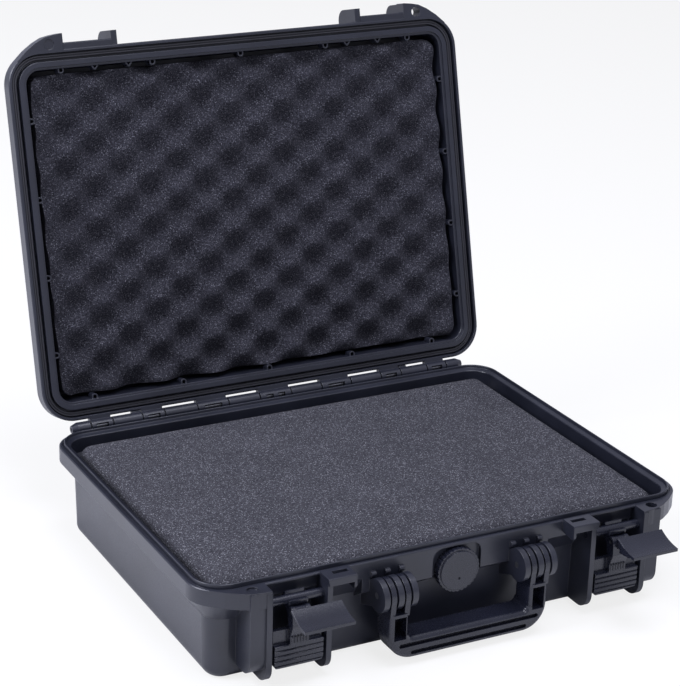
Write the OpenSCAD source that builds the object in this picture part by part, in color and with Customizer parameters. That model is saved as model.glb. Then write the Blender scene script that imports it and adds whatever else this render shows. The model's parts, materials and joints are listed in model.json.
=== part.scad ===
// Hard equipment case for microphones, shown open: base, lid, latches, handle, purge valve and foam.
// X runs across the front, Y from front to back, Z up. The origin is the middle of the flat underside.

/* [Shells] */
// Width across the rim
case_w = 411; // [380:1:480]
// Depth of the rim, front to back
case_d = 301; // [280:1:360]
// Height of the base, from the underside to the mating plane
base_h = 78.5; // [76:0.5:130]
// Height of the lid, from its rim to its top
lid_h = 46.1; // [42:0.1:80]
// Radius of the rim's corners, outside
corner_r = 27; // [25:0.5:36]
// Thickness of the upright walls
wall_t = 3.5; // [2.5:0.1:4.5]
// Thickness of the floor and of the lid's top
floor_t = 3.5; // [2.5:0.1:5]
// How far the rim band stands out from the wall
rim_out = 12; // [11:0.5:14]
// Height of the rim band on each shell
band_h = 12.6; // [12:0.1:16]
// Height of the slope below the rim band
slope_h = 16; // [12:0.5:20]
// Rounding where the walls meet the floor and the lid's top
edge_r = 9; // [6:0.5:10]
// Gap between the two rims when shut
rim_gap = 0.4; // [0.2:0.1:0.8]
// Angle that the lid stands open at
lid_open = 104.1; // [95:0.1:108]

/* [Seal] */
// Width of the tongue on the base's rim
tongue_w = 1.4; // [1:0.1:2]
// Height of the tongue above the mating plane
tongue_h = 3; // [2:0.1:4]
// Distance of the tongue's middle from the rim's outer face
tongue_in = 4.6; // [4.4:0.1:5.2]
// Width of the rubber gasket
gasket_w = 3.8; // [3:0.1:4.4]
// Height of the rubber gasket
gasket_h = 4.2; // [3:0.1:5]
// Gap between the tongue and the gasket in the solids
gasket_gap = 0.2; // [0.1:0.05:0.5]

/* [Hinge] */
// Radius of the hinge barrel
barrel_r = 5.2; // [5:0.1:6.2]
// Distance of the hinge axis behind the rim
hinge_out = 6.56; // [6.5:0.01:8]
// Radius of the hinge pins
hinge_pin_r = 1.6; // [1.2:0.1:2.2]
// Gap between neighbouring knuckles
knuckle_gap = 1.1; // [0.3:0.1:1.5]

/* [Latches] */
// Distance of each latch from the end of the case
latch_in = 70.5; // [66:0.5:74]
// Width of the pocket that a latch sits in
pocket_w = 43; // [42:0.5:50]
// How far the latch ribs stand out in front of the rim
rib_out = 13; // [12:0.5:15]
// Width of the full rib on the outer side of a latch
outer_rib_w = 16.3; // [14:0.1:20]
// Width of the rib on the inner side of a latch
inner_rib_w = 4.2; // [3:0.1:5]
// How far the slotted plate on top of that rib reaches inwards
plate_reach = 18; // [14:0.1:20]
// Radius of the steel rod that a latch turns on
rod_r = 3.3; // [2.8:0.1:3.6]
// How far the rod lies in front of the rim
rod_out = 4.5; // [4:0.1:6]
// How far the rod lies below the mating plane
rod_down = 13; // [12:0.1:15]
// How far the hook's pin lies in front of the rod
pin_ahead = 7.5; // [7:0.1:9]
// How far the hook's pin lies below the rod
pin_below = 7; // [6.5:0.1:8]
// Radius of the hook's pin
hook_pin_r = 1.5; // [1:0.1:1.8]
// Width of the lever's ribbed panel
panel_w = 38.6; // [34:0.2:39]
// Distance of the panel's lower edge below the mating plane
panel_low = 64; // [60:0.5:68]
// Width of the lever's middle web
web_w = 14.8; // [13:0.2:18]
// Width of the hook's arm between the lever's cheeks
arm_w = 8; // [6:0.2:8.6]
// Width of the hook plate
plate_w = 39.2; // [34:0.2:39.8]
// Thickness of the hook plate
plate_t = 2.4; // [2:0.1:3]
// Radius of the padlock holes
padlock_r = 4.3; // [3.5:0.1:4.8]

/* [Handle] */
// Distance of a bracket's middle ear from the middle of the case
bracket_x = 58.9; // [56:0.1:64]
// Thickness of each bracket ear
ear_t = 4.6; // [4:0.1:5.4]
// Thickness of each of the handle's own ears
grip_ear_t = 4.2; // [3.6:0.1:5]
// Gap between neighbouring ears of a bracket and the handle
ear_gap = 1.4; // [0.4:0.1:1.6]
// Radius of the bracket ears
ear_r = 12.7; // [11.5:0.1:13]
// How far the handle's pin lies in front of the rim
swivel_out = 11; // [11:0.1:13]
// How far the handle's pin lies below the mating plane
swivel_down = 22.3; // [21:0.1:24]
// Radius of the handle's pins
handle_pin_r = 2.5; // [2:0.1:3.5]
// Length of the handle from its pin to its lower edge
handle_drop = 51; // [48:0.5:52]
// Height of the grip
grip_h = 17.2; // [15:0.1:18]
// Thickness of the handle, front to back
grip_d = 22; // [19:0.5:22]
// Radius of the handle's lower corners
grip_corner_r = 20; // [16:0.5:22]

/* [Purge valve] */
// Radius of the purge knob
knob_r = 17.5; // [15:0.1:18]
// Thickness of the purge knob
knob_t = 7.6; // [7:0.1:9]
// Number of scallops round the knob
knob_scallops = 30; // [20:1:40]
// Distance of the knob's middle below the mating plane
knob_down = 20.8; // [20:0.1:23]
// Radius of the valve's threaded stem
stem_r = 6; // [5:0.1:7]

/* [Foam] */
// Gap between the foam and the wall round it
foam_gap = 1.2; // [0.8:0.1:3]
// Distance of the base foam's top below the mating plane
foam_down = 2; // [1:0.5:10]
// Thickness of the pad under the base foam
pad_t = 10; // [5:0.5:20]
// Distance between two crests of the lid foam, side to side
crest_x = 49; // [40:0.5:60]
// Distance between two crests of the lid foam, front to back
crest_y = 35.4; // [28:0.2:44]
// Height of the crests over the hollows of the lid foam
crest_h = 14; // [8:0.5:18]
// Depth of the crests above the mating plane when the lid is shut
crest_z = 3.5; // [3:0.5:8]
// Angle that the foam's pattern is cut at
crest_turn = 2.8; // [0:0.1:6]

/* [Hidden] */
$fn = 48;

plastic = "#34363d";
rubber = "#1c1d20";
steel = "#8d9094";
foam = "#45454e";

far = 400;
// Running gap of a turning piece on its pin, and seat gap of a pin that stays put
run_gap = 0.06;
seat_gap = 0.02;

// Corner centres of the rim, and radii there of the wall's faces
cx = case_w / 2 - corner_r;
cy = case_d / 2 - corner_r;
wall_out = corner_r - rim_out;
wall_in = wall_out - wall_t;
draft = 1;
rim_in = corner_r - 9.5;
front = case_d / 2;

// Latch's distance from the middle
latch_x = case_w / 2 - latch_in;

// Depths below the mating plane
slope_end = band_h + slope_h;
step_top = 13;
step_low = step_top + (rim_in - wall_in) * 4 / 3;

// Outline of the base's wall: x is the distance from a corner's centre, y the height
module base_section() {
    intersection() {
        base_wall_outline();
        translate([0, -far]) square([far, 2 * far]);
    }
}

module base_wall_outline() {
    tongue_out = corner_r - tongue_in + tongue_w / 2;
    tongue_back = tongue_out - tongue_w;
    land = corner_r - 2.6;
    floor_r = wall_out - draft - edge_r;
    difference() {
        union() {
            polygon([[0, -base_h], [floor_r, -base_h], [wall_out - draft, edge_r - base_h],
                [wall_out, -slope_end], [corner_r, -band_h], [corner_r, -0.8], [corner_r - 0.8, 0],
                [land, 0], [land - 0.3, -0.7], [tongue_out + 0.2, -0.7], [tongue_out, tongue_h - 0.4],
                [tongue_out - 0.4, tongue_h], [tongue_back + 0.4, tongue_h],
                [tongue_back, tongue_h - 0.4], [tongue_back - 0.3, 0.6], [rim_in + 0.4, -0.6],
                [rim_in, -1.2], [rim_in, -step_top], [wall_in, -step_low],
                [wall_in - draft, floor_t - base_h], [0, floor_t - base_h]]);
            translate([floor_r, edge_r - base_h]) circle(edge_r);
        }
        translate([-far, floor_t - base_h]) square([far + wall_in - draft, far / 5]);
    }
}

// Outline of the lid's wall, shut: the groove for the gasket opens downwards
groove_out = 2.6;
groove_in = 8.8;
groove_top = tongue_h + gasket_gap + gasket_h;
module lid_section() {
    intersection() {
        lid_wall_outline();
        translate([0, -far]) square([far, 2 * far]);
    }
}

module lid_wall_outline() {
    top = rim_gap + lid_h;
    top_r = wall_out - draft - edge_r;
    difference() {
        union() {
            polygon([[0, top - floor_t], [wall_in - draft, top - floor_t], [wall_in, 3.2],
                [wall_in + 0.4, 2.6], [wall_in + 2.1, 2.6], [wall_in + 2.3, 1],
                [corner_r - groove_in - 0.4, 1], [corner_r - groove_in, 1.4],
                [corner_r - groove_in, groove_top], [corner_r - groove_out, groove_top],
                [corner_r - groove_out, rim_gap], [corner_r - 0.8, rim_gap],
                [corner_r, rim_gap + 0.8], [corner_r, band_h], [wall_out, slope_end + rim_gap],
                [wall_out - draft, top - edge_r], [top_r, top], [0, top]]);
            translate([top_r, top - edge_r]) circle(edge_r);
        }
        translate([-far, top - floor_t - far / 5]) square([far + wall_in - draft, far / 5]);
    }
}

// Runs a section round the rim: four straight sides and four corners
module rim_sweep() {
    for (side = [0, 180]) {
        rotate([0, 0, side]) translate([cx, 0, 0]) rotate([90, 0, 0])
            linear_extrude(2 * cy, center = true) children();
        rotate([0, 0, side + 90]) translate([cy, 0, 0]) rotate([90, 0, 0])
            linear_extrude(2 * cx, center = true) children();
    }
    for (sx = [0, 1], sy = [0, 1])
        mirror([sx, 0, 0]) mirror([0, sy, 0]) translate([cx, cy, 0])
            rotate_extrude(angle = 90) children();
}

// Extrudes an outline given as [distance in front of the rim, height] across x0 to x1
module front_slab(x0, x1) {
    translate([x0, -front, 0]) rotate([90, 0, 90]) mirror([1, 0, 0])
        linear_extrude(x1 - x0) children();
}

// The same on both sides of the case
module both_sides() {
    children();
    mirror([1, 0, 0]) children();
}

// A round bar along X with its axis at [in front of the rim, height]
module cross_bar(out, height, r, x0, x1) {
    translate([x0, -front - out, height]) rotate([0, 90, 0]) cylinder(h = x1 - x0, r = r);
}

module box(x0, x1, y0, y1, z0, z1) {
    translate([x0, y0, z0]) cube([x1 - x0, y1 - y0, z1 - z0]);
}

// A rectangle about the middle with round corners
module rounded_outline(half_x, half_y, r) {
    square([2 * half_x, 2 * (half_y - r)], center = true);
    square([2 * (half_x - r), 2 * half_y], center = true);
    for (sx = [-1, 1], sy = [-1, 1])
        translate([sx * (half_x - r), sy * (half_y - r)]) circle(r);
}

module raised() translate([0, 0, base_h]) children();

// Puts the shut lid's pieces where they stand on the open lid
hinge_y = case_d / 2 + hinge_out;
hinge_z = rim_gap / 2;
module opened() {
    raised() translate([0, hinge_y, hinge_z]) rotate([-lid_open, 0, 0])
        translate([0, -hinge_y, -hinge_z]) children();
}

// ---- Latch pocket and its ribs ----
pocket_in = latch_x - pocket_w / 2;
pocket_end = latch_x + pocket_w / 2;
rib_foot_r = 12.5;
plate_top = 1.2;
plate_low = -4.5;
plate_front = rib_out + 2.5;
wall_depth = -rim_out - wall_t / 2;
step_depth = 1.5 + rim_in - corner_r;

// Outline of a rib from the wall's middle out to its front; its round foot ends above the underside
module rib_outline(out, up) {
    low = up - base_h;
    polygon([[step_depth, -1], [out, -1], [out, low + rib_foot_r], [out - rib_foot_r, low],
        [wall_depth - draft, low], [wall_depth, -step_low], [step_depth, -step_top]]);
    translate([out - rib_foot_r, low + rib_foot_r]) circle(rib_foot_r);
}

module pocket_cut() {
    lip = 1.8;
    back = -4.5;
    low_back = -rim_out;
    front_slab(pocket_in, pocket_end)
        polygon([[back, -lip], [back, -band_h], [low_back, -band_h + (low_back - back) * 4 / 3],
            [low_back, -base_h - 1], [rib_out + 4, -base_h - 1], [rib_out + 4, -lip]]);
}

// Two upright rests that hold the back of a shut lever
module lever_rests() {
    rest_w = 3;
    high = -panel_top - 1;
    low = -panel_low + 3;
    for (x = [-0.31, 0.31] * panel_w)
        front_slab(latch_x + x - rest_w / 2, latch_x + x + rest_w / 2)
            polygon([[-rim_out - 2, high], [panel_back - 0.3, high - 4], [panel_back - 0.3, low + 4],
                [-rim_out - 2, low]]);
}

// Plate on top of the inner rib, with a slot and a lip that hangs from its end
module slotted_plate() {
    plate_x0 = pocket_in - inner_rib_w - plate_reach;
    lip_t = 2.2;
    lip_low = -10.5;
    difference() {
        union() {
            front_slab(plate_x0, pocket_in + 0.5)
                polygon([[-2.4, plate_low], [plate_front, plate_low], [plate_front, plate_top - 0.6],
                    [plate_front - 0.6, plate_top], [0.3, plate_top], [0.3, -0.4], [-2.4, -0.4]]);
            front_slab(plate_x0, plate_x0 + lip_t)
                polygon([[-2.4, lip_low + 2], [plate_front - 2, lip_low], [plate_front, lip_low + 2],
                    [plate_front, -1], [-2.4, -1]]);
        }
        box(plate_x0 + 3.2, plate_x0 + plate_reach - 2.6, -front - 8.2, -front - 4.2,
            plate_low - 1, plate_top + 1);
    }
}

// Corner plate with the padlock hole, seen from above
plate_edge_x = latch_x + pocket_w / 2;
padlock_x = plate_edge_x + 12;
padlock_out = 4.5;
module corner_plate(low, high) {
    land_r = corner_r - 2.4;
    translate([0, 0, low]) linear_extrude(high - low) difference() {
        polygon([[plate_edge_x, -cy], [plate_edge_x, 0.6 - front - rib_out],
            [plate_edge_x + 0.8, -front - rib_out + 0.4], [plate_edge_x + 8, -front - rib_out + 1.2],
            [plate_edge_x + 15, -front - rib_out + 2.6], [plate_edge_x + 22.8, -front - 6.6],
            [plate_edge_x + 31.4, -front - 0.8], [cx + corner_r * 0.664, -cy - corner_r * 0.748],
            [cx + corner_r / 2, -cy]]);
        rounded_outline(cx + land_r, cy + land_r, land_r);
    }
}

// Ear outline of the handle's bracket, with a web back to the wall
module ear_outline() {
    web_top = -swivel_down + ear_r * 0.62;
    translate([swivel_out, -swivel_down]) circle(ear_r);
    polygon([[-2, web_top], [swivel_out, web_top], [swivel_out, -swivel_down],
        [swivel_out - 6, -swivel_down - ear_r + 1.5], [wall_depth, -slope_end - 12],
        [wall_depth, -step_low]]);
}

// The bracket's three ears stand this far apart, with the handle's own ears between them
ear_pitch = ear_t + grip_ear_t + 2 * ear_gap;
own_ear_r = ear_r - 0.4;
module bracket() {
    knob_t = ear_t - 0.6;
    for (k = [-1, 0, 1]) {
        mid = bracket_x + k * ear_pitch;
        front_slab(mid - ear_t / 2, mid + ear_t / 2) ear_outline();
        // Small rounded knob above each ear
        cross_bar(0.5, -swivel_down + ear_r - 0.6, 2.3, mid - knob_t / 2, mid + knob_t / 2);
    }
}

// Hollows behind the handle's ears, which turn in them
module ear_hollows() {
    for (k = [-0.5, 0.5]) {
        mid = bracket_x + k * ear_pitch;
        cross_bar(swivel_out, -swivel_down, own_ear_r + 0.4, mid - grip_ear_t / 2 - 0.4,
            mid + grip_ear_t / 2 + 0.4);
    }
}

// Panels that carry the handle's brackets and frame the knob
recess_w = 2 * (knob_r + 2.9);
panel_end = bracket_x + ear_pitch + ear_t + 4;
panel_deep = 24;
module front_panel() {
    front_slab(recess_w / 2, panel_end)
        polygon([[step_depth, -1], [0, -1], [0, -panel_deep], [wall_depth, -panel_deep - 9],
            [wall_depth, -step_low], [step_depth, -step_top]]);
}

seat_back = -3.5;
module valve_boss() {
    front_slab(-recess_w / 2, recess_w / 2)
        polygon([[step_depth, -1], [seat_back, -1], [seat_back, -panel_deep],
            [wall_depth, -panel_deep - 9], [wall_depth, -step_low], [step_depth, -step_top]]);
    // Round seat, hidden behind the knob
    translate([0, -front - seat_back, -knob_down]) rotate([-90, 0, 0])
        cylinder(h = seat_back - wall_depth, r = knob_r - 2);
}

module recess_cut() {
    lip = 2.2;
    round_r = 8;
    half = recess_w / 2;
    translate([0, -front - seat_back, 0]) rotate([90, 0, 0]) linear_extrude(far / 10) difference() {
        translate([-half, -panel_deep - 14]) square([recess_w, panel_deep + 14 - lip]);
        for (side = [-1, 1]) translate([side * (half - round_r), -lip - round_r]) difference() {
            translate([side > 0 ? 0 : -round_r - 1, 0]) square([round_r + 1, round_r + 1]);
            circle(round_r);
        }
    }
}

// ---- Hinge ----
// Knuckle edges on one side of the middle; the first knuckle belongs to the lid, then they alternate
knuckle_edges = [0, 0.077, 0.229, 0.378, 0.533, 0.637, 0.774, 0.875, 0.937];
function knuckle_x(i) = knuckle_edges[i] * (case_w - corner_r) / 2;

module barrel(i, arm_low, arm_high) {
    x0 = i == 0 ? -knuckle_x(1) + knuckle_gap / 2 : knuckle_x(i) + knuckle_gap / 2;
    x1 = knuckle_x(i + 1) - knuckle_gap / 2;
    translate([x0, hinge_y, hinge_z]) rotate([0, 90, 0]) cylinder(h = x1 - x0, r = barrel_r);
    box(x0, x1, case_d / 2 - 1.5, hinge_y, arm_low, arm_high);
}

// Tapered end of the outermost knuckle
module barrel_end() {
    translate([knuckle_x(8) - knuckle_gap / 2, hinge_y, hinge_z]) rotate([0, 90, 0])
        cylinder(h = 5, r1 = barrel_r, r2 = barrel_r * 0.6);
}

// Heel on a base knuckle that the open lid's rim rests on
module heel(i) {
    heel_w = 7;
    heel_l = 4.5;
    translate([knuckle_x(i) + knuckle_gap / 2, hinge_y, hinge_z]) rotate([90 - lid_open, 0, 0])
        cube([heel_w, heel_l, hinge_out - 0.2]);
}

// Window in a lid knuckle, open downwards when shut, between two fractions of its length
module knuckle_window(i, from, to) {
    half = hinge_pin_r + 0.6;
    length = knuckle_x(i + 1) - knuckle_x(i);
    box(knuckle_x(i) + from * length, knuckle_x(i) + to * length, hinge_y - half, hinge_y + half,
        -barrel_r - 1, hinge_z);
}

module hinge_bore(r) {
    translate([-far, hinge_y, hinge_z]) rotate([0, 90, 0]) cylinder(h = 2 * far, r = r);
}

// ---- Base ----
module base_shell() {
    color(plastic) raised() {
        shell_with_cuts();
        both_sides() lever_rests();
    }
}

module shell_with_cuts() {
    bracket_end = ear_pitch + ear_t / 2 + 1;
    difference() {
        union() {
            rim_sweep() base_section();
            box(-cx, cx, -cy, cy, -base_h, floor_t - base_h);
            both_sides() {
                front_panel();
                front_slab(pocket_end, pocket_end + outer_rib_w) rib_outline(rib_out - 1.6, 12);
                front_slab(pocket_end, pocket_end + 4.5) rib_outline(rib_out, 4.5);
                front_slab(pocket_in - inner_rib_w, pocket_in) rib_outline(rib_out, 4.5);
                slotted_plate();
                corner_plate(-band_h, 0);
                bracket();
                for (i = [1, 3, 5, 7]) barrel(i, -barrel_r, 0);
                barrel_end();
                heel(5);
            }
            valve_boss();
        }
        both_sides() {
            pocket_cut();
            ear_hollows();
            cross_bar(rod_out, -rod_down, rod_r + seat_gap, pocket_in - inner_rib_w - 1,
                pocket_end + 4.5);
            cross_bar(swivel_out, -swivel_down, handle_pin_r + seat_gap, bracket_x - bracket_end,
                bracket_x + bracket_end);
        }
        recess_cut();
        // Way out of the open padlock hole, below the corner plate
        box(padlock_x - padlock_r - 0.5, plate_edge_x + far / 10, -front - 9.6, -front + 0.5,
            -band_h - 26, -band_h);
        padlock_bore(-1, [-band_h, -4]);
        padlock_bore(-1, [-1.6, 4]);
        padlock_bore(1, [-band_h - 1, 4]);
        hinge_bore(hinge_pin_r + seat_gap);
        translate([0, -cy, -knob_down]) rotate([90, 0, 0]) cylinder(h = far, r = stem_r + run_gap);
        translate([0, -cy, -knob_down]) rotate([90, 0, 0])
            cylinder(h = front - cy - nut_back, r = nut_r + 1.5);
    }
}

// A padlock hole on one side, between two heights
module padlock_bore(side, span) {
    translate([side * padlock_x, -front - padlock_out, span[0]])
        cylinder(h = span[1] - span[0], r = padlock_r);
}

// ---- Lid, drawn shut ----
catch_top = 7;
catch_out = 5;
fin_t = 5;
fin_out = 11.5;
fin_h = 33;
module catch_bars() {
    both_sides() front_slab(pocket_in + 1, pocket_end)
        polygon([[-2, rim_gap + 0.4], [catch_out - 0.8, rim_gap + 0.4], [catch_out, rim_gap + 1.2],
            [catch_out, catch_top - 0.5], [catch_out - 0.5, catch_top], [-2, catch_top]]);
}

// Fin beside a latch, rounded at its top outer corner
module fin(x0, x1, out, low) {
    fin_r = 10;
    front_slab(x0, x1) difference() {
        union() {
            polygon([[-2, low], [out, low], [out, fin_h - fin_r], [out - fin_r, fin_h],
                [wall_depth - 0.5, fin_h], [wall_depth - 0.5, slope_end], [-2, band_h]]);
            translate([out - fin_r, fin_h - fin_r]) circle(fin_r);
        }
        translate([wall_depth - 0.5 - far, 0]) square([far, far]);
    }
}

// Small open bosses round the lid's inner wall that hold the foam's edge
boss_r = 2.6;
boss_wall = 1.2;
boss_in = 1.5;
boss_top = 3.6;
boss_h = 9;
module boss_places() {
    for (sy = [0, 180], k = [-2:2])
        rotate([0, 0, sy]) translate([k * (cx + wall_in) * 0.42, cy + wall_in, boss_top]) children();
    for (sx = [-90, 90], k = [-3, -1, 1, 3])
        rotate([0, 0, sx]) translate([k * (cy + wall_in) * 0.235, cx + wall_in, boss_top]) children();
}

// A boss's outline, open towards the wall
module boss(r, leg, h) {
    linear_extrude(h) translate([0, -boss_in]) {
        circle(r);
        translate([-r, 0]) square([2 * r, leg]);
    }
}

// Pairs of small slanted ribs beside the bosses, behind each latch
module slanted_ribs() {
    both_sides() for (side = [-1, 1], slant = [-1, 1])
        translate([latch_x - 19.5 + side * 14.8, -cy - wall_in + 3.2, boss_top])
            rotate([0, 0, 180 + slant * 38]) translate([-boss_wall / 2, 0, 0])
                cube([boss_wall, 5, boss_h]);
}

module lid_shell() {
    color(plastic) opened() difference() {
        union() {
            rim_sweep() lid_section();
            box(-cx, cx, -cy, cy, rim_gap + lid_h - floor_t, rim_gap + lid_h);
            catch_bars();
            both_sides() {
                fin(pocket_in - 4, pocket_in - 4 + fin_t, fin_out, plate_top + rim_gap);
                fin(plate_edge_x, plate_edge_x + 3.5, rib_out - 1, rim_gap);
                corner_plate(rim_gap, band_h);
            }
            boss_places() boss(boss_r, boss_in + 0.5, boss_h);
            slanted_ribs();
            barrel(0, rim_gap, barrel_r);
            both_sides() for (i = [2, 4, 6]) barrel(i, rim_gap, barrel_r);
        }
        boss_places() translate([0, 0, -1]) boss(boss_r - boss_wall, boss_in, boss_h - 1);
        padlock_bore(-1, [-1, rim_gap + 1]);
        padlock_bore(-1, [band_h - 5, band_h + 1]);
        padlock_bore(1, [-1, band_h + 1]);
        hinge_bore(hinge_pin_r + run_gap);
        both_sides() {
            knuckle_window(0, 0.15, 0.6);
            for (i = [2, 4, 6]) knuckle_window(i, 0.22, 0.78);
        }
        // Shallow panel in the lid's top
        translate([0, 0, rim_gap + lid_h - 1.2]) linear_extrude(5)
            rounded_outline(cx - 14, cy - 14, 14);
    }
}

module lid_gasket() {
    out = corner_r - groove_out - 0.9;
    low = tongue_h + gasket_gap;
    mid = out - gasket_w / 2;
    color(rubber) opened() rim_sweep()
        polygon([[out - gasket_w, groove_top], [out - gasket_w, low + 0.5],
            [out - gasket_w + 0.5, low], [mid - 0.35, low], [mid, low + 0.5], [mid + 0.35, low],
            [out - 0.5, low], [out, low + 0.5], [out, groove_top]]);
}

module hinge_pin(side) {
    pin_in = 2;
    color(steel) raised() translate([side > 0 ? pin_in : -knuckle_x(8) + 3, hinge_y, hinge_z])
        rotate([0, 90, 0]) cylinder(h = knuckle_x(8) - 3 - pin_in, r = hinge_pin_r);
}

// ---- Latches ----
hook_out = rod_out + pin_ahead;
hook_down = rod_down + pin_below;
panel_back = rod_out + 1;
panel_front = rod_out + 8;
panel_top = 45;

// Puts a latch piece, drawn round the middle, on one side of the case
module at_latch(side) raised() translate([side * latch_x, 0, 0]) children();

module latch_rod(side) {
    half = pocket_w / 2 + 3.8;
    color(plastic) at_latch(side) cross_bar(rod_out, -rod_down, rod_r, -half, half);
}

// Panel of the lever: a plain back and stepped grip ribs in front
module panel_outline() {
    pitch = 4.05;
    steps = [for (k = [0:3]) each [[panel_front - 0.2, -panel_top - k * pitch],
        [panel_front + 0.5, -panel_top - k * pitch - 0.5],
        [panel_front, -panel_top - (k + 1) * pitch + 0.7],
        [panel_front - 0.9, -panel_top - (k + 1) * pitch + 0.5]]];
    polygon(concat([[panel_back, -34], [panel_front - 3.4, -34], [panel_front - 3.4, -panel_top]],
        steps, [[panel_front + 0.3, -panel_top - 4 * pitch], [panel_front - 0.3, -panel_low + 1.5],
        [panel_front - 2, -panel_low], [panel_back, -panel_low]]));
}

module web_outline() {
    polygon([[rod_out - 2, -rod_down - 4.5], [rod_out + 2, -rod_down - 2],
        [hook_out - 3.5, -hook_down + 1], [hook_out + 3.9, -hook_down + 1],
        [hook_out + 4.6, -hook_down - 10], [panel_front + 0.6, -38.5], [panel_front + 0.6, -panel_top - 1],
        [panel_back, -panel_top - 1], [panel_back, -36], [rod_out + 4, -30],
        [rod_out + 2.6, -rod_down - 9]]);
    translate([hook_out, -hook_down]) circle(4.2);
}

module latch_lever(side) {
    clip_r = 5.9;
    corner = 4.5;
    half = panel_w / 2;
    arm_slot = arm_w / 2 + 0.2;
    color(plastic) at_latch(side) difference() {
        union() {
            intersection() {
                front_slab(-half, half) panel_outline();
                translate([0, -front, 0]) rotate([90, 0, 0]) linear_extrude(far / 10) union() {
                    translate([-half, -panel_low + corner]) square([2 * half, panel_low]);
                    translate([corner - half, -panel_low]) square([2 * (half - corner), panel_low]);
                    for (s = [-1, 1]) translate([s * (half - corner), -panel_low + corner])
                        circle(corner);
                }
            }
            difference() {
                front_slab(-web_w / 2, web_w / 2) web_outline();
                front_slab(-arm_slot, arm_slot)
                    polygon([[hook_out - 4.3, 0], [hook_out - 4.3, -hook_down - 4.3],
                        [hook_out + far / 20, -hook_down - 4.3], [hook_out + far / 20, 0]]);
            }
            cross_bar(rod_out, -rod_down, clip_r, -web_w / 2, web_w / 2);
            // Upright teeth on the web's foot
            for (k = [-2.5:2.5]) translate([k * web_w / 6.4, -front - panel_front - 0.6, 1 - panel_top])
                cylinder(h = 5, r = web_w / 18);
        }
        cross_bar(rod_out, -rod_down, rod_r + run_gap, -far, far);
        cross_bar(hook_out, -hook_down, hook_pin_r + seat_gap, -far, far);
        // Mouth of the clip, which snaps over the rod
        front_slab(-far / 10, far / 10)
            polygon([[rod_out, -rod_down], [rod_out + 8, -rod_down + 1.5],
                [rod_out + 8, -rod_down + 9], [rod_out - 1.5, -rod_down + 9]]);
    }
}

module hook_pin(side) {
    half = web_w / 2;
    color(steel) at_latch(side) cross_bar(hook_out, -hook_down, hook_pin_r, -half, half);
}

// The plate curves about this point, [in front of the hook's pin, above it]
curve_out = 47.8;
curve_up = 52.6;
curve_r = 42;
module plate_outline() {
    root_angle = 57.9;
    tip_angle = 88.6;
    reach = curve_r * 1.5;
    translate([curve_out, curve_up]) intersection() {
        difference() {
            circle(curve_r + plate_t, $fn = 96);
            circle(curve_r, $fn = 96);
        }
        polygon([[0, 0], [-reach * cos(root_angle), -reach * sin(root_angle)],
            [-reach * cos(tip_angle), -reach * sin(tip_angle)]]);
    }
}

// Point on the plate's underside at an angle round its curve
function plate_point(angle) = [curve_out - (curve_r + plate_t - 0.6) * cos(angle),
    curve_up - (curve_r + plate_t - 0.6) * sin(angle)];

module latch_hook(side) {
    eye_r = 3.8;
    color(plastic) at_latch(side) difference() {
        union() {
            cross_bar(hook_out, -hook_down, eye_r, -arm_w / 2, arm_w / 2);
            translate([0, -hook_out, -hook_down]) {
                front_slab(-arm_w / 2, arm_w / 2)
                    polygon([[0, -3.6], [12, -3.6], [24, -1.6], [24, 5], [12, 1.6], [0, 3.6]]);
                front_slab(-web_w / 2, web_w / 2)
                    polygon([[12, -3.6], [25, -2.4], plate_point(76), plate_point(66), [22, 4],
                        [12, 1.6]]);
                front_slab(-plate_w / 2, plate_w / 2) plate_outline();
            }
        }
        cross_bar(hook_out, -hook_down, hook_pin_r + run_gap, -far, far);
    }
}

// ---- Handle ----
grip_front = swivel_out + 11.5;
grip_back = grip_front - grip_d;
arm_x0 = bracket_x - ear_t / 2 - ear_gap - grip_ear_t;
arm_x1 = bracket_x + ear_t / 2 + ear_gap + grip_ear_t;
handle_low = -swivel_down - handle_drop;
grip_top = handle_low + grip_h;
bridge_top = -swivel_down - ear_r - 0.5;

// Section of the handle: across the arm or grip, and front to back
module grip_section(low, high) {
    round_r = 4;
    translate([(low + high) / 2, (grip_front + grip_back) / 2])
        rounded_outline((high - low) / 2, grip_d / 2, round_r);
}

// The arm on one side, the corner below it and half of the grip
module handle_half() {
    turn_x = arm_x1 - grip_corner_r;
    turn_z = handle_low + grip_corner_r;
    translate([0, -front, turn_z]) mirror([0, 1, 0])
        linear_extrude(bridge_top - turn_z) grip_section(arm_x0, arm_x1);
    translate([0, -front, handle_low]) rotate([90, 0, 90]) mirror([1, 0, 0]) linear_extrude(turn_x)
        translate([0, grip_h]) rotate(-90) grip_section(0, grip_h);
    translate([turn_x, -front, turn_z]) rotate([90, 0, 0]) rotate([0, 0, -90])
        rotate_extrude(angle = 90) grip_section(grip_corner_r - grip_h, grip_corner_r);
}

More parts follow.
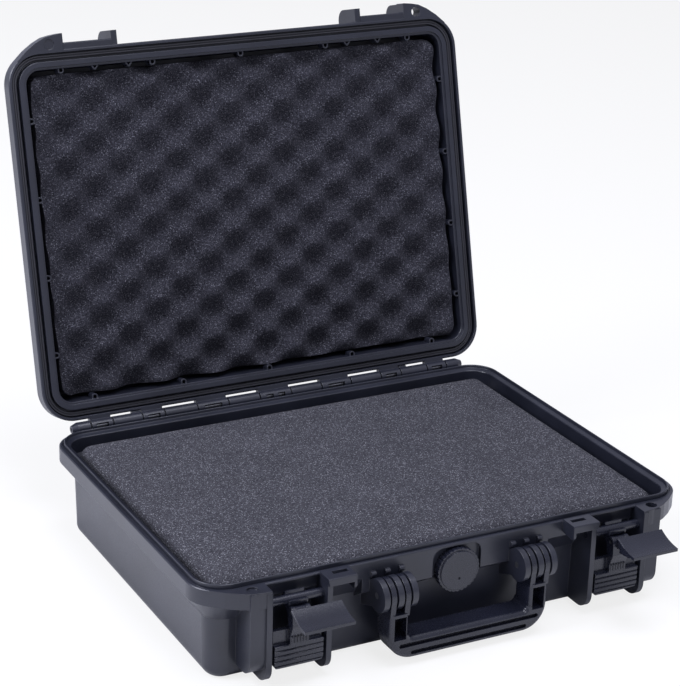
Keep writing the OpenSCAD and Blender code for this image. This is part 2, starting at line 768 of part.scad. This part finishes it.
module handle() {
    color(plastic) raised() difference() {
        both_sides() {
            handle_half();
            for (k = [-1, 1]) {
                x0 = bracket_x + k * ear_pitch / 2 - grip_ear_t / 2;
                cross_bar(swivel_out, -swivel_down, own_ear_r, x0, x0 + grip_ear_t);
                front_slab(x0, x0 + grip_ear_t)
                    polygon([[grip_back + 1, bridge_top - 2], [swivel_out - own_ear_r * 0.95,
                        -swivel_down - own_ear_r * 0.3], [swivel_out, -swivel_down],
                        [swivel_out + own_ear_r * 0.95, -swivel_down - own_ear_r * 0.3],
                        [grip_front - 1, bridge_top - 2]]);
            }
        }
        both_sides() {
            // Pocket in the front of each arm
            box(arm_x0 + 2.6, arm_x1 - 3.4, -front - grip_front - 1, -front - grip_front + 15,
                grip_top, bridge_top - 2.5);
            cross_bar(swivel_out, -swivel_down, handle_pin_r + run_gap, 0, far / 2);
        }
        // Two long grooves in the front of the grip
        grip_groove(grip_top - 3.7, 3.2, arm_x1 - 7.8);
        grip_groove(grip_top - 10.5, 3.2, arm_x1 - 17.6);
    }
}

module grip_groove(top, height, half) {
    depth = 3.6;
    translate([0, -front - grip_front + depth, top - height / 2]) rotate([90, 0, 0])
        linear_extrude(far / 20) union() {
            square([2 * (half - height / 2), height], center = true);
            for (s = [-1, 1]) translate([s * (half - height / 2), 0]) circle(height / 2);
        }
}

module handle_pin(side) {
    half = ear_pitch + ear_t / 2;
    color(steel) raised() translate([side * bracket_x, 0, 0])
        cross_bar(swivel_out, -swivel_down, handle_pin_r, -half, half);
}

// ---- Purge valve ----
seal_t = 1.2;
flange_t = 2;
nut_back = 9.5;
nut_r = 9;
hub_r = 4;
knob_back = seat_back + 0.4;
knob_front = knob_back + knob_t;

// A disc or ring on the valve's axis, between two distances in front of the rim
module on_valve(out0, out1) {
    raised() translate([0, -front - out0, -knob_down]) rotate([90, 0, 0])
        linear_extrude(out1 - out0) children();
}

module purge_knob() {
    scallop_r = PI * knob_r / knob_scallops * 0.62;
    color(plastic) difference() {
        union() {
            on_valve(knob_back, knob_front - 1.2) difference() {
                circle(knob_r, $fn = 96);
                for (k = [0:knob_scallops - 1]) rotate(k * 360 / knob_scallops)
                    translate([knob_r + scallop_r * 0.55, 0]) circle(scallop_r, $fn = 24);
            }
            on_valve(knob_front - 1.3, knob_front) circle(knob_r - 2, $fn = 96);
        }
        on_valve(knob_back - 1, seat_back + seal_t + flange_t + 0.4) circle(12);
        on_valve(knob_back, seat_back + seal_t + flange_t + 2.9) circle(hub_r + run_gap);
        // Pin mark in the face
        raised() translate([0, -front - knob_front + 1, -knob_down - 6.2]) rotate([90, 0, 0])
            cylinder(h = 5, r = 0.9);
    }
}

module valve_body() {
    color(plastic) difference() {
        union() {
            on_valve(-nut_back - 4.5, seat_back + seal_t + flange_t - 0.1) circle(stem_r);
            on_valve(seat_back + seal_t, seat_back + seal_t + flange_t) circle(11);
            on_valve(seat_back + seal_t + flange_t - 0.1, seat_back + seal_t + flange_t + 2.6)
                circle(hub_r);
        }
        on_valve(-nut_back - 5, seat_back) circle(3);
    }
}

module valve_seal() {
    color(rubber) on_valve(seat_back, seat_back + seal_t) difference() {
        circle(11);
        circle(stem_r + run_gap);
    }
}

module valve_nut() {
    color(plastic) on_valve(-nut_back - 4, -nut_back) difference() {
        circle(nut_r, $fn = 6);
        circle(stem_r + seat_gap);
    }
}

module valve_membrane() {
    color("#d8d8d4") on_valve(seat_back - 1, seat_back) circle(3 - seat_gap);
}

// ---- Foam ----
module rounded_block(half_x, half_y, r, low, high) {
    translate([0, 0, low]) linear_extrude(high - low) rounded_outline(half_x, half_y, r);
}

foam_reach = wall_in - draft - foam_gap + 0.6;
pad_top = floor_t + pad_t - base_h;
module base_foam_block() {
    color(foam) raised()
        rounded_block(cx + foam_reach, cy + foam_reach, foam_reach, pad_top, -foam_down);
}

module base_foam_pad() {
    color(foam) raised()
        rounded_block(cx + foam_reach, cy + foam_reach, foam_reach, floor_t - base_h, pad_top);
}

// Height of the lid foam's face at a point of its turned pattern of crests and hollows
function crest(u, v) = crest_z + crest_h / 2 * (1 - cos(u * 360 / crest_x) * cos(v * 360 / crest_y));

// Numbers of the quarter-wave lines that lie inside a reach on both sides, and the lines themselves
function lines(reach, wave, shift) = [for (k = [ceil((-reach - shift) * 4 / wave):
    floor((reach - shift) * 4 / wave)]) shift + k * wave / 4];

// Slab with a waved face, straight sides and a flat back
module lid_foam() {
    reach_x = cx + wall_in - 4.4;
    reach_y = cy + wall_in - 4.4;
    back = rim_gap + lid_h - floor_t;
    shift = [crest_x * 0.17, -crest_y * 0.18];
    s = sin(crest_turn);
    c = cos(crest_turn);
    us = lines(reach_x - reach_y * s - 4, crest_x, shift[0]);
    vs = lines(reach_y - reach_x * s - 3, crest_y, shift[1]);
    cols = len(us) + 2;
    rows = len(vs) + 2;
    spots = [for (j = [0:rows - 1], i = [0:cols - 1])
        let (side_x = i == 0 ? -reach_x : i == cols - 1 ? reach_x : undef,
            side_y = j == 0 ? -reach_y : j == rows - 1 ? reach_y : undef)
        [side_x != undef ? side_x : side_y != undef ? (us[i - 1] - side_y * s) / c
            : us[i - 1] * c - vs[j - 1] * s,
        side_y != undef ? side_y : side_x != undef ? (vs[j - 1] + side_x * s) / c
            : us[i - 1] * s + vs[j - 1] * c]];
    face = [for (p = spots) [p[0], p[1],
        crest(p[0] * c + p[1] * s - shift[0], p[1] * c - p[0] * s - shift[1])]];
    rear = [for (p = spots) [p[0], p[1], back]];
    n = len(spots);
    corners = [for (j = [0:rows - 2], i = [0:cols - 2]) j * cols + i];
    tris = [for (q = corners) each
        (abs(face[q][2] - face[q + cols + 1][2]) < abs(face[q + 1][2] - face[q + cols][2])
        ? [[q, q + 1, q + cols + 1], [q, q + cols + 1, q + cols]]
        : [[q, q + 1, q + cols], [q + 1, q + cols + 1, q + cols]])];
    rim = concat([for (i = [0:cols - 1]) i], [for (j = [1:rows - 1]) j * cols + cols - 1],
        [for (i = [1:cols - 1]) rows * cols - 1 - i], [for (j = [1:rows - 2]) (rows - 1 - j) * cols]);
    m = len(rim);
    sides = [for (k = [0:m - 1]) each [[rim[k], rim[k] + n, rim[(k + 1) % m] + n],
        [rim[k], rim[(k + 1) % m] + n, rim[(k + 1) % m]]]];
    cover = [for (k = [0:m - 1]) [2 * n, rim[(k + 1) % m] + n, rim[k] + n]];
    color(foam) opened() polyhedron(concat(face, rear, [[0, 0, back]]), concat(tris, sides, cover));
}

base_shell();
lid_shell();
lid_gasket();
hinge_pin(-1);  // hinge_pin_left
hinge_pin(1);  // hinge_pin_right
latch_rod(-1);  // latch_rod_left
latch_rod(1);  // latch_rod_right
latch_lever(-1);  // latch_lever_left
latch_lever(1);  // latch_lever_right
latch_hook(-1);  // latch_hook_left
latch_hook(1);  // latch_hook_right
hook_pin(-1);  // hook_pin_left
hook_pin(1);  // hook_pin_right
handle();
handle_pin(-1);  // handle_pin_left
handle_pin(1);  // handle_pin_right
purge_knob();
valve_body();
valve_seal();
valve_nut();
valve_membrane();
base_foam_block();
base_foam_pad();
lid_foam();
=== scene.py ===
import json
import math

import bpy
from mathutils import Matrix, Vector


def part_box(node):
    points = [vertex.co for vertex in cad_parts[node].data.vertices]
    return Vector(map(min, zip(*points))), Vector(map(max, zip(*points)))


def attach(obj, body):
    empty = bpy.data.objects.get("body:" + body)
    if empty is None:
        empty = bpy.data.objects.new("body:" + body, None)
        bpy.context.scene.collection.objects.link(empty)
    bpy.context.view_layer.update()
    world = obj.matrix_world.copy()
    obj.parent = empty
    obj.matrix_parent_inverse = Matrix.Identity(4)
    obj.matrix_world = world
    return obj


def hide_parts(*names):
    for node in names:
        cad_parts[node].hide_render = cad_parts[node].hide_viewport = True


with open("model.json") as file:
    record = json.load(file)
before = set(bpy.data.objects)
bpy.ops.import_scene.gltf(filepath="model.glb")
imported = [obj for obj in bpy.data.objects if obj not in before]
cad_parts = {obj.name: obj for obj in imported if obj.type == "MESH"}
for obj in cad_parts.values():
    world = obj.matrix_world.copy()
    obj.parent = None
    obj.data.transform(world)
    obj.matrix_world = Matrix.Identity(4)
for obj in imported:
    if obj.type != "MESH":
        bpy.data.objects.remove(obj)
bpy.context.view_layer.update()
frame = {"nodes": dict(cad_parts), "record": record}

MM = 0.001
BODY_OF = {node: body for body, nodes in frame["record"]["behaviour"]["bodies"].items()
           for node in nodes}

# The case's own sizes that the lid's foam is fitted to, in millimetres and degrees
HINGE_Y, HINGE_Z = 157.06, 78.7
BASE_H = 78.5
LID_OPEN = 104.1


# ---- Camera ----
def photo_camera():
    """The photograph's camera, solved from the case's straight edges, in metres and pixels."""
    position = (-0.7320, -1.3209, 0.7621)
    azimuth, elevation, roll = (math.radians(a) for a in (-26.52, 20.90, 1.07))
    back = Vector((math.sin(azimuth) * math.cos(elevation),
                   -math.cos(azimuth) * math.cos(elevation), math.sin(elevation)))
    level = Vector((0, 0, 1)).cross(back).normalized()
    upright = back.cross(level)
    right = math.cos(roll) * level + math.sin(roll) * upright
    up = -math.sin(roll) * level + math.cos(roll) * upright
    focal_px, long_side_px = 2088.75, 686
    middle_px = (340.0, 343.0)
    principal_px = (280.75, 336.57)
    data = bpy.data.cameras.new("photo_camera")
    data.sensor_width = 36
    data.lens = focal_px * data.sensor_width / long_side_px
    data.shift_x = (middle_px[0] - principal_px[0]) / long_side_px
    data.shift_y = (principal_px[1] - middle_px[1]) / long_side_px
    data.clip_end = 50
    camera = bpy.data.objects.new("photo_camera", data)
    turn = Matrix((right, up, back)).transposed().to_4x4()
    camera.matrix_world = Matrix.Translation(position) @ turn
    bpy.context.collection.objects.link(camera)
    bpy.context.scene.camera = camera


# ---- Small helpers ----
def linear(code):
    """A colour written as sRGB hex, as the linear values a shader takes."""
    parts = [int(code[i:i + 2], 16) / 255 for i in (1, 3, 5)]
    return [p / 12.92 if p <= 0.04045 else ((p + 0.055) / 1.055) ** 2.4 for p in parts] + [1]


def add(tree, kind, inputs=None, **settings):
    """Adds a shader node with its settings; an input is linked if it is given a socket."""
    item = tree.nodes.new(kind)
    for name, value in settings.items():
        setattr(item, name, value)
    for name, value in (inputs or {}).items():
        socket = item.inputs[name]
        if isinstance(value, bpy.types.NodeSocket):
            tree.links.new(value, socket)
        else:
            socket.default_value = value
    return item


def new_material(name):
    """An empty material with its shader and the object's own coordinates."""
    material = bpy.data.materials.new(name)
    material.use_nodes = True
    tree = material.node_tree
    tree.nodes.clear()
    shader = add(tree, "ShaderNodeBsdfPrincipled")
    add(tree, "ShaderNodeOutputMaterial", {"Surface": shader.outputs["BSDF"]})
    place = add(tree, "ShaderNodeTexCoord").outputs["Object"]
    return material, tree, shader, place


# ---- Materials ----
def moulded_plastic(name, dark, light, rough, grain_mm, grain_depth_mm, edge_mm):
    """Injection-moulded polypropylene: an even black with a bluish cast, a fine spark-eroded
    grain that spreads its highlights, faint paler clouds where the melt has flowed, and edges
    rounded by the mould, which catch a thin line of light."""
    material, tree, shader, place = new_material(name)
    cloud_mm = 45
    cloud = add(tree, "ShaderNodeTexNoise", {"Vector": place, "Scale": 1 / (cloud_mm * MM),
                                             "Detail": 4.0, "Roughness": 0.55})
    grain = add(tree, "ShaderNodeTexNoise", {"Vector": place, "Scale": 1 / (grain_mm * MM),
                                             "Detail": 2.0})
    amount = add(tree, "ShaderNodeMapRange", {"Value": cloud.outputs[0], "From Min": 0.35,
                                              "From Max": 0.7})
    tint = add(tree, "ShaderNodeMix", {0: amount.outputs["Result"], 6: linear(dark),
                                       7: linear(light)}, data_type="RGBA")
    dull = add(tree, "ShaderNodeMapRange", {"Value": grain.outputs[0], "From Min": 0.3,
                                            "From Max": 0.7, "To Min": rough - 0.05,
                                            "To Max": rough + 0.06})
    edge = add(tree, "ShaderNodeBevel", {"Radius": edge_mm * MM}, samples=8)
    bump = add(tree, "ShaderNodeBump", {"Height": grain.outputs[0], "Strength": 0.5,
                                        "Distance": grain_depth_mm * MM,
                                        "Normal": edge.outputs[0]})
    tree.links.new(tint.outputs[2], shader.inputs["Base Color"])
    tree.links.new(dull.outputs["Result"], shader.inputs["Roughness"])
    tree.links.new(bump.outputs["Normal"], shader.inputs["Normal"])
    shader.inputs["IOR"].default_value = 1.49
    return material


def seal_rubber():
    """Moulded solid rubber for the seals: deep black, dull, with a faint bloom."""
    material, tree, shader, place = new_material("moulded_rubber")
    bloom_mm = 12
    bloom = add(tree, "ShaderNodeTexNoise", {"Vector": place, "Scale": 1 / (bloom_mm * MM),
                                             "Detail": 5.0})
    tint = add(tree, "ShaderNodeMix", {0: bloom.outputs[0], 6: linear("#1b1b20"),
                                       7: linear("#2a2a31")}, data_type="RGBA")
    bump = add(tree, "ShaderNodeBump", {"Height": bloom.outputs[0], "Strength": 0.3,
                                        "Distance": 0.05 * MM})
    tree.links.new(tint.outputs[2], shader.inputs["Base Color"])
    tree.links.new(bump.outputs["Normal"], shader.inputs["Normal"])
    shader.inputs["Roughness"].default_value = 0.55
    shader.inputs["IOR"].default_value = 1.52
    return material


def drawn_steel():
    """Drawn and cut steel for the pins: grey, with drawing lines along them that spread the
    shine. The lines are drawn 0.4 mm wide, coarser than the real ones, so that they show."""
    material, tree, shader, place = new_material("drawn_steel")
    # Lines per metre
    along, across = 60, 2500
    stretched = add(tree, "ShaderNodeMapping", {"Vector": place, "Scale": (along, across, across)})
    lines = add(tree, "ShaderNodeTexNoise", {"Vector": stretched.outputs["Vector"], "Scale": 1.0,
                                             "Detail": 3.0})
    dull = add(tree, "ShaderNodeMapRange", {"Value": lines.outputs[0], "From Min": 0.3,
                                            "From Max": 0.7, "To Min": 0.28, "To Max": 0.48})
    tree.links.new(dull.outputs["Result"], shader.inputs["Roughness"])
    shader.inputs["Base Color"].default_value = linear("#8b8c90")
    shader.inputs["Metallic"].default_value = 1.0
    return material


def cut_foam(name, pit_shade, ground, speck_highlight):
    """Open-cell polyurethane foam, cut with a blade: no gloss, a charcoal ground full of pits
    whose darkness is painted shade, and pale painted highlights where the cut cell walls catch
    the light. The cells are drawn 1 mm wide, coarser than the real ones, so that they show."""
    material, tree, shader, place = new_material(name)
    pit_mm, cell_mm, patch_mm = 1.1, 1.0, 38
    pit_relief_and_shade = add(tree, "ShaderNodeTexNoise", {"Vector": place, "Scale": 1 / (pit_mm * MM),
                                            "Detail": 3.0, "Roughness": 0.75})
    cells = add(tree, "ShaderNodeTexVoronoi", {"Vector": place, "Scale": 1 / (cell_mm * MM)})
    patches = add(tree, "ShaderNodeTexNoise", {"Vector": place, "Scale": 1 / (patch_mm * MM),
                                               "Detail": 3.0})
    # The pits' darker colour is painted shade in the cell cavities; the same noise also gives the
    # real relief
    spread = add(tree, "ShaderNodeMapRange", {"Value": pit_relief_and_shade.outputs[0], "From Min": 0.36,
                                              "From Max": 0.64})
    flat = add(tree, "ShaderNodeMix", {0: spread.outputs["Result"], 6: linear(pit_shade),
                                       7: linear(ground)}, data_type="RGBA")
    # A cell's own random value picks the ones whose walls get a painted highlight, as if they
    # caught the light
    chosen = add(tree, "ShaderNodeSeparateColor", {"Color": cells.outputs["Color"]})
    bright = add(tree, "ShaderNodeMapRange", {"Value": chosen.outputs["Red"], "From Min": 0.55,
                                              "From Max": 1.0, "To Min": 0.0, "To Max": 0.7})
    middle = add(tree, "ShaderNodeMapRange", {"Value": cells.outputs["Distance"], "From Min": 0.2,
                                              "From Max": 0.5, "To Min": 1.0, "To Max": 0.0})
    highlight_dots = add(tree, "ShaderNodeMath", {0: bright.outputs["Result"], 1: middle.outputs["Result"]},
               operation="MULTIPLY")
    # The pale specks are painted highlights on the cell walls
    highlighted = add(tree, "ShaderNodeMix", {0: highlight_dots.outputs[0], 6: flat.outputs[2],
                                          7: linear(speck_highlight)}, data_type="RGBA")
    shade = add(tree, "ShaderNodeMapRange", {"Value": patches.outputs[0], "From Min": 0.3,
                                             "From Max": 0.7, "To Min": 0.9, "To Max": 1.1})
    varied = add(tree, "ShaderNodeVectorMath", {0: highlighted.outputs[2],
                                                "Scale": shade.outputs["Result"]},
                 operation="SCALE")
    bump = add(tree, "ShaderNodeBump", {"Height": pit_relief_and_shade.outputs[0], "Strength": 0.7,
                                        "Distance": 0.5 * MM})
    tree.links.new(varied.outputs["Vector"], shader.inputs["Base Color"])
    tree.links.new(bump.outputs["Normal"], shader.inputs["Normal"])
    shader.inputs["Roughness"].default_value = 0.95
    shader.inputs["Specular IOR Level"].default_value = 0.1
    return material


def vent_film():
    """White expanded fluoropolymer vent film, matt, with faint fibres."""
    material, tree, shader, place = new_material("vent_film")
    fibre_mm = 0.4
    fibres = add(tree, "ShaderNodeTexNoise", {"Vector": place, "Scale": 1 / (fibre_mm * MM),
                                              "Detail": 3.0})
    tint = add(tree, "ShaderNodeMix", {0: fibres.outputs[0], 6: linear("#cfcfca"),
                                       7: linear("#e8e8e4")}, data_type="RGBA")
    tree.links.new(tint.outputs[2], shader.inputs["Base Color"])
    shader.inputs["Roughness"].default_value = 0.8
    return material


# ---- Mouldings and pins ----
def dress(node, material):
    """Gives a piece that stays as it is its finish."""
    data = frame["nodes"][node].data
    data.materials.clear()
    data.materials.append(material)


# ---- Foam ----
def finish_foam(piece, node, material):
    """Gives a foam piece its finish and its body, and hides the solid that it stands for."""
    piece.data.materials.append(material)
    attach(piece, BODY_OF[node])
    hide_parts(node)


def cut_block(node, name):
    """A foam block the size of its solid, with round upright corners and slightly soft edges."""
    corner_mm, edge_mm = 10, 0.8
    low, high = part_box(node)
    bpy.ops.object.select_all(action="DESELECT")
    bpy.ops.mesh.primitive_cube_add(size=1, location=[(a + b) / 2 for a, b in zip(low, high)],
                                    scale=[b - a for a, b in zip(low, high)])
    piece = bpy.context.object
    piece.name = name
    bpy.ops.object.mode_set(mode="EDIT")
    bpy.ops.mesh.select_all(action="DESELECT")
    bpy.ops.object.mode_set(mode="OBJECT")
    # The four upright edges are the only ones whose ends differ in height
    for edge in piece.data.edges:
        a, b = (piece.data.vertices[v].co for v in edge.vertices)
        edge.select = abs(a.z - b.z) > 0.1 * MM
    bpy.ops.object.mode_set(mode="EDIT")
    bpy.ops.mesh.select_mode(type="EDGE")
    bpy.ops.mesh.bevel(offset=corner_mm * MM, segments=8)
    bpy.ops.object.mode_set(mode="OBJECT")
    bpy.ops.object.transform_apply(location=True, rotation=True, scale=True)
    soft_edge = piece.modifiers.new("soft_edge", "BEVEL")
    soft_edge.limit_method = "ANGLE"
    soft_edge.angle_limit = math.radians(60)
    soft_edge.width = edge_mm * MM
    soft_edge.segments = 2
    bpy.ops.object.modifier_apply(modifier=soft_edge.name)
    bpy.ops.object.shade_smooth_by_angle(angle=math.radians(40))
    return piece


def shut_to_open():
    """Takes what is drawn over the mating plane of the shut lid to its place on the open lid."""
    hinge = Matrix.Translation((0, HINGE_Y * MM, HINGE_Z * MM))
    turned = hinge @ Matrix.Rotation(-math.radians(LID_OPEN), 4, "X") @ hinge.inverted()
    return turned @ Matrix.Translation((0, 0, BASE_H * MM))


def egg_crate():
    """The lid's foam: a slab with a face of round crests and hollows set like a chessboard. It
    is drawn over the shut lid's mating plane, in millimetres, and then opened with the lid."""
    reach_x, reach_y, corner, back = 185.6, 130.6, 9.0, 43.0
    crest_x, crest_y, crest_h, crest_z = 49.0, 35.4, 14.0, 3.5
    # The pattern was laid a little askew, and off the slab's middle
    turn = math.radians(2.8)
    shift_u, shift_v = crest_x * 0.17, -crest_y * 0.18
    edge_roll, edge_drop = 5.0, 1.6
    fade_x, least_depth = 22.0, 0.35
    step = 2.4
    bpy.ops.object.select_all(action="DESELECT")
    bpy.ops.mesh.primitive_grid_add(x_subdivisions=round(2 * reach_x / step),
                                    y_subdivisions=round(2 * reach_y / step), size=2)
    piece = bpy.context.object
    piece.name = "foam_egg_crate"
    piece.scale = (reach_x * MM, reach_y * MM, 1)
    bpy.ops.object.transform_apply(location=True, rotation=True, scale=True)
    # The grid's rim is drawn down to the slab's back, which is then closed
    bpy.ops.object.mode_set(mode="EDIT")
    bpy.ops.mesh.select_all(action="SELECT")
    bpy.ops.mesh.region_to_loop()
    bpy.ops.mesh.extrude_edges_move(TRANSFORM_OT_translate={"value": (0, 0, back * MM)})
    bpy.ops.mesh.edge_face_add()
    bpy.ops.object.mode_set(mode="OBJECT")
    for vertex in piece.data.vertices:
        x, y = vertex.co.x / MM, vertex.co.y / MM
        # Beyond a corner's circle the slab is cut round
        over_x, over_y = max(abs(x) - reach_x + corner, 0), max(abs(y) - reach_y + corner, 0)
        far = math.hypot(over_x, over_y)
        if over_x and over_y and far > corner:
            x -= math.copysign(over_x * (1 - corner / far), x)
            y -= math.copysign(over_y * (1 - corner / far), y)
            vertex.co.x, vertex.co.y = x * MM, y * MM
        if vertex.co.z > back / 2 * MM:
            continue
        u = x * math.cos(turn) + y * math.sin(turn) - shift_u
        v = y * math.cos(turn) - x * math.sin(turn) - shift_v
        wave = math.cos(2 * math.pi * u / crest_x) * math.cos(2 * math.pi * v / crest_y)
        # The cut edge is drawn back a little, as pressed foam is
        inside = min(reach_x - abs(x), reach_y - abs(y))
        if over_x and over_y:
            inside = min(inside, corner - min(far, corner))
        drawn_back = edge_drop * max(0, 1 - inside / edge_roll) ** 2
        # The hollows run out towards the left and right sides, where the foam is pressed
        full = min(1, (reach_x - abs(x)) / fade_x)
        depth = crest_h * (least_depth + (1 - least_depth) * full)
        vertex.co.z = (crest_z + depth / 2 * (1 - wave) + drawn_back) * MM
    piece.data.transform(shut_to_open())
    bpy.ops.object.mode_set(mode="EDIT")
    bpy.ops.mesh.select_all(action="SELECT")
    bpy.ops.mesh.normals_make_consistent(inside=False)
    bpy.ops.object.mode_set(mode="OBJECT")
    bpy.ops.object.shade_smooth_by_angle(angle=math.radians(50))
    return piece


# ---- Studio ----
def studio_floor():
    """Matt pale paper: white to the camera, with a faint shadow left in it."""
    whitening = 0.8
    bpy.ops.object.select_all(action="DESELECT")
    bpy.ops.mesh.primitive_plane_add(size=8, location=(0, 0, 0))
    floor = bpy.context.object
    floor.name = "floor"
    material = bpy.data.materials.new("paper_floor")
    material.use_nodes = True
    tree = material.node_tree
    tree.nodes.clear()
    path = add(tree, "ShaderNodeLightPath")
    lift = add(tree, "ShaderNodeMath", {0: path.outputs["Is Camera Ray"], 1: whitening},
               operation="MULTIPLY")
    paper = add(tree, "ShaderNodeBsdfDiffuse", {"Color": linear("#f4f4f4")})
    glow = add(tree, "ShaderNodeEmission", {"Color": linear("#ffffff"), "Strength": 1.0})
    both = add(tree, "ShaderNodeMixShader", {0: lift.outputs[0], 1: paper.outputs[0],
                                             2: glow.outputs[0]})
    add(tree, "ShaderNodeOutputMaterial", {"Surface": both.outputs[0]})
    floor.data.materials.append(material)


def studio_walls():
    """A pale surround, white where the camera sees it and bright where the plastics mirror it."""
    world = bpy.data.worlds.new("studio")
    bpy.context.scene.world = world
    world.use_nodes = True
    tree = world.node_tree
    tree.nodes.clear()
    path = add(tree, "ShaderNodeLightPath")
    seen = add(tree, "ShaderNodeMath", {0: path.outputs["Is Camera Ray"],
                                        1: path.outputs["Is Transmission Ray"]},
               operation="MAXIMUM")
    plain = add(tree, "ShaderNodeBackground", {"Color": linear("#e9ebfa"), "Strength": 0.3})
    mirrored = add(tree, "ShaderNodeBackground", {"Color": linear("#e4e6fa"), "Strength": 0.7})
    white = add(tree, "ShaderNodeBackground", {"Color": linear("#ffffff"), "Strength": 1.0})
    indirect = add(tree, "ShaderNodeMixShader", {0: path.outputs["Is Glossy Ray"],
                                                 1: plain.outputs[0], 2: mirrored.outputs[0]})
    mix = add(tree, "ShaderNodeMixShader", {0: seen.outputs[0], 1: indirect.outputs[0],
                                            2: white.outputs[0]})
    add(tree, "ShaderNodeOutputWorld", {"Surface": mix.outputs[0]})


def studio_lamps():
    """A large cool lamp behind on the left, one overhead and a weak one in front. The front one
    stands at the middle, so that it draws no slanting streaks on the lid's foam."""
    for name, place, aim, size, watts in (
            ("back_left", (-2.2, 0.3, 1.8), (-0.3, 0.1, 0), 1.4, 80),
            ("overhead", (0.1, -0.5, 2.5), (0, 0, 0.1), 1.2, 44),
            ("front", (0.0, -2.3, 1.9), (0, 0, 0.2), 0.9, 17)):
        lamp = bpy.data.lights.new(name, "AREA")
        lamp.size = size
        lamp.energy = watts
        lamp.color = linear("#eceefc")[:3]
        holder = bpy.data.objects.new(name, lamp)
        holder.location = place
        holder.rotation_euler = (Vector(aim) - Vector(place)).to_track_quat("-Z", "Y").to_euler()
        bpy.context.collection.objects.link(holder)


photo_camera()

shell_plastic = moulded_plastic("grained_polypropylene", "#1a1c25", "#242630", rough=0.33,
                                grain_mm=0.8, grain_depth_mm=0.03, edge_mm=0.6)
fitting_plastic = moulded_plastic("smooth_polypropylene", "#161822", "#1c1e29", rough=0.26,
                                  grain_mm=0.6, grain_depth_mm=0.012, edge_mm=0.5)
rubber = seal_rubber()
steel = drawn_steel()
# Each foam's first colour is its painted pit shade and its last colour its painted highlight
block_foam = cut_foam("cut_block_foam", "#222227", "#4e4e54", "#b2b2b8")
# The lid's foam is the block's foam painted darker: painted shade for the upright lid, which faces
# away from the lamps
shaded_crate_foam = cut_foam("cut_crate_foam_painted_shade", "#16161a", "#3c3c44", "#8e8e97")
film = vent_film()

dress("base_shell", shell_plastic)
dress("lid_shell", shell_plastic)
dress("lid_gasket", rubber)
dress("handle", fitting_plastic)
dress("purge_knob", fitting_plastic)
for side in ("left", "right"):
    for part in ("latch_lever_", "latch_hook_", "latch_rod_"):
        dress(part + side, fitting_plastic)
    for pin in ("hinge_pin_", "hook_pin_", "handle_pin_"):
        dress(pin + side, steel)
dress("valve_body", fitting_plastic)
dress("valve_nut", fitting_plastic)
dress("valve_seal", rubber)
dress("valve_membrane", film)

for node, name in (("base_foam_block", "foam_block_cut"), ("base_foam_pad", "foam_pad_cut")):
    finish_foam(cut_block(node, name), node, block_foam)
finish_foam(egg_crate(), "lid_foam", shaded_crate_foam)

studio_floor()
studio_walls()
studio_lamps()
bpy.context.scene.view_settings.view_transform = "Standard"
